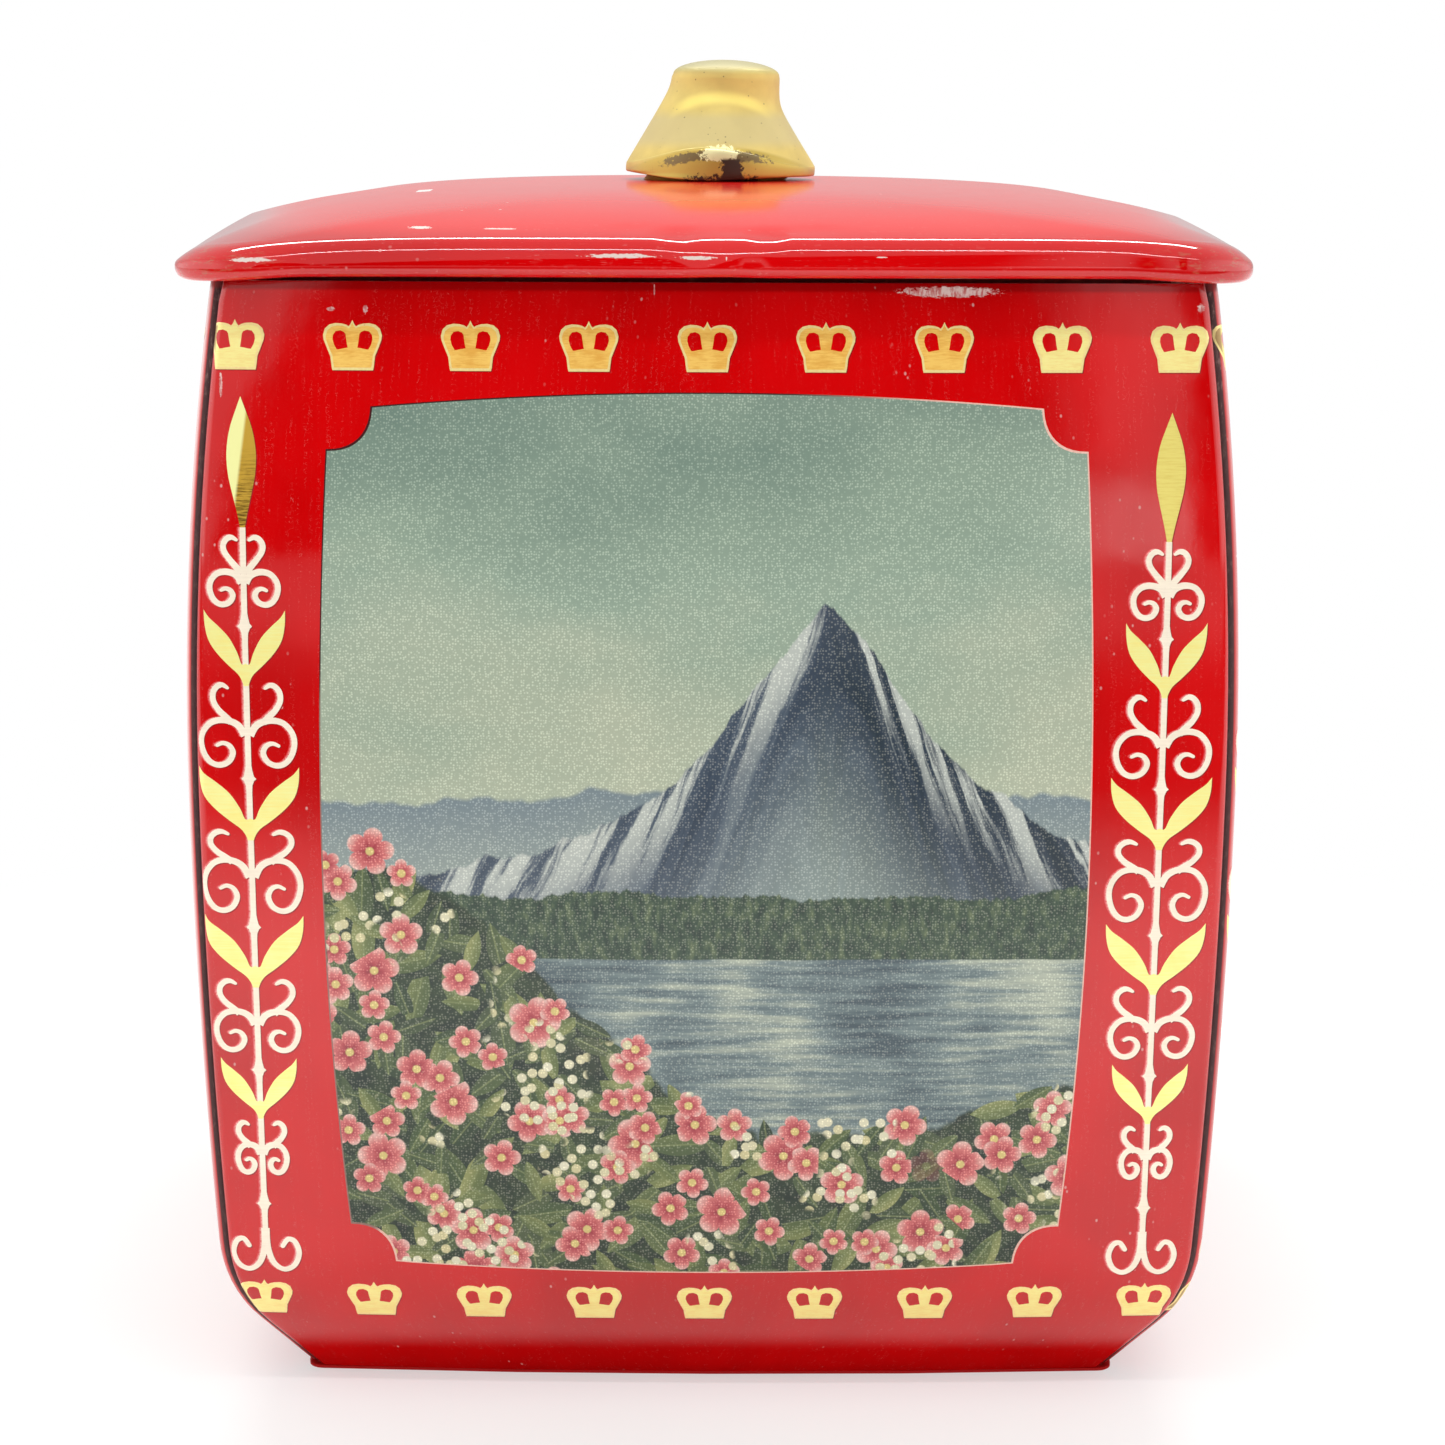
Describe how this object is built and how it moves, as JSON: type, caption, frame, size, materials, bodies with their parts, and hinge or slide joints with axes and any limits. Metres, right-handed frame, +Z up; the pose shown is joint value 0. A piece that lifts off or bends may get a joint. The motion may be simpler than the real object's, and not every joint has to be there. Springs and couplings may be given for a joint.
{
  "type": "hinged lithographed tin",
  "caption": "Square barrel-sided tin with printed panels, rolled corner seams, a hinged domed lid with a curled rim, and a bell-shaped knob; stores dry goods",
  "frame": {"origin": "middle of the base, on the surface that the tin stands on", "axes": "+Z up; the front faces -Y; +X is to the right seen from the front; the hinge is at +Y"},
  "size_m": [0.1058, 0.1064, 0.1345],
  "materials": {
    "red_lacquer": "glossy translucent red lacquer over tinplate, with printed gold and bare-tin ornament",
    "bare_tin": "bright rolled tinplate, slightly dulled",
    "gold_plate": "gold plate, polished, worn dark in patches",
    "plain_steel": "plain drawn steel"
  },
  "bodies": {
    "tin_body": {"front_panel": "red_lacquer", "right_panel": "red_lacquer", "back_panel": "red_lacquer", "left_panel": "red_lacquer", "base_pan": "bare_tin", "neck_collar": "bare_tin", "body_hinge_leaf": "bare_tin", "hinge_pin": "plain_steel"},
    "lid": {"lid_shell": "red_lacquer", "knob": "gold_plate", "knob_screw": "plain_steel", "knob_washer": "plain_steel", "lid_hinge_leaf": "bare_tin"}
  },
  "joints": [
    {"name": "lid_hinge", "type": "hinge", "parent": "tin_body", "child": "lid", "pos_m": [0, 0.05125, 0.1123], "axis": [-1, 0, 0], "range_deg": [0, 105]}
  ]
}
